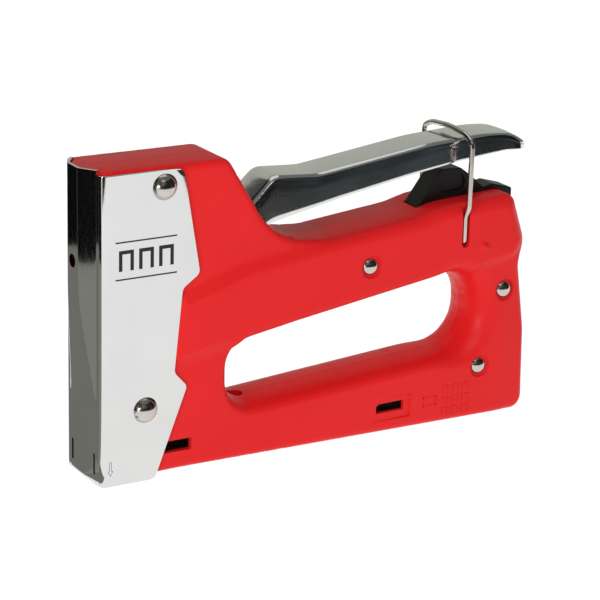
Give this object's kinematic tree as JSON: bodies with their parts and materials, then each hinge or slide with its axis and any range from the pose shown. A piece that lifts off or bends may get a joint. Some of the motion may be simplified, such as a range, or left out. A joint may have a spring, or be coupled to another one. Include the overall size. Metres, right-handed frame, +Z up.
{
  "type": "staple gun",
  "caption": "Hand staple gun with red moulded shells, a chromed nose cover, a chromed squeeze lever, a wire lock bail and a slide-out magazine.",
  "frame": {"origin": "middle of the tool's footprint, on the surface that it stands on", "axes": "+X from the nose to the rear, +Y across, +Z up; the nose faces -X"},
  "size_m": [0.1747, 0.033, 0.1082],
  "materials": {
    "red_abs": "moulded ABS, satin gloss",
    "chromed_sheet": "polished chrome plate over pressed steel",
    "bright_steel": "bright nickel-plated steel",
    "hardened_steel": "ground hardened steel",
    "spring_steel": "drawn spring wire, oiled",
    "phosphated_steel": "black phosphate on steel sheet",
    "zinc_steel": "bright zinc plate",
    "brass_bush": "turned brass",
    "rubber_pad": "moulded rubber",
    "black_nylon": "moulded nylon, fine grain"
  },
  "bodies": {
    "housing": {"left_shell": "red_abs", "right_shell": "red_abs", "nose_cover": "chromed_sheet", "nose_rivets": "bright_steel", "body_rivets": "bright_steel", "front_guide_plate": "hardened_steel", "driver_channel": "hardened_steel", "main_spring": "spring_steel", "spring_cap": "hardened_steel", "stop_pad": "rubber_pad", "lever_pivot_pin": "bright_steel", "lever_stop_insert": "black_nylon", "magazine_channel": "phosphated_steel", "lever_return_spring": "spring_steel"},
    "lever": {"lever": "chromed_sheet", "lifter_arm": "hardened_steel", "lever_rivet": "bright_steel", "lever_bushes": "brass_bush"},
    "hammer": {"plunger": "hardened_steel", "driver_blade": "hardened_steel", "plunger_pin": "bright_steel"},
    "bail": {"wire_bail": "bright_steel"},
    "magazine": {"magazine_rail": "zinc_steel", "pusher_rod": "bright_steel", "pusher_spring": "spring_steel", "magazine_end_cap": "black_nylon", "latch_pin": "bright_steel"},
    "pusher": {"pusher": "phosphated_steel"},
    "latch": {"magazine_latch": "bright_steel"}
  },
  "joints": [
    {"name": "lever_swing", "type": "hinge", "parent": "housing", "child": "lever", "pos_m": [-0.04158, 0, 0.076], "axis": [0, -1, 0], "range_deg": [-4.5, 22], "deforming": ["lever_return_spring"]},
    {"name": "hammer_drop", "type": "slide", "parent": "housing", "child": "hammer", "axis": [0, 0, 1], "range_m": [-0.0125, 0.0027], "deforming": ["main_spring"]},
    {"name": "bail_swing", "type": "hinge", "parent": "housing", "child": "bail", "pos_m": [0.05763, 0, 0.0666], "axis": [0, 1, 0], "range_deg": [0, 106], "deforming": ["wire_bail"]},
    {"name": "magazine_slide", "type": "slide", "parent": "housing", "child": "magazine", "axis": [1, 0, 0], "range_m": [0, 0.095]},
    {"name": "pusher_slide", "type": "slide", "parent": "magazine", "child": "pusher", "axis": [1, 0, 0], "range_m": [0, 0.075], "deforming": ["pusher_spring"]},
    {"name": "latch_press", "type": "hinge", "parent": "magazine", "child": "latch", "pos_m": [0.07992, 0, 0.0114], "axis": [0, -1, 0], "range_deg": [-8, 0]}
  ],
  "couplings": [
    {"joint": "hammer_drop", "follows": "lever_swing", "m_per_rad": -0.032}
  ]
}
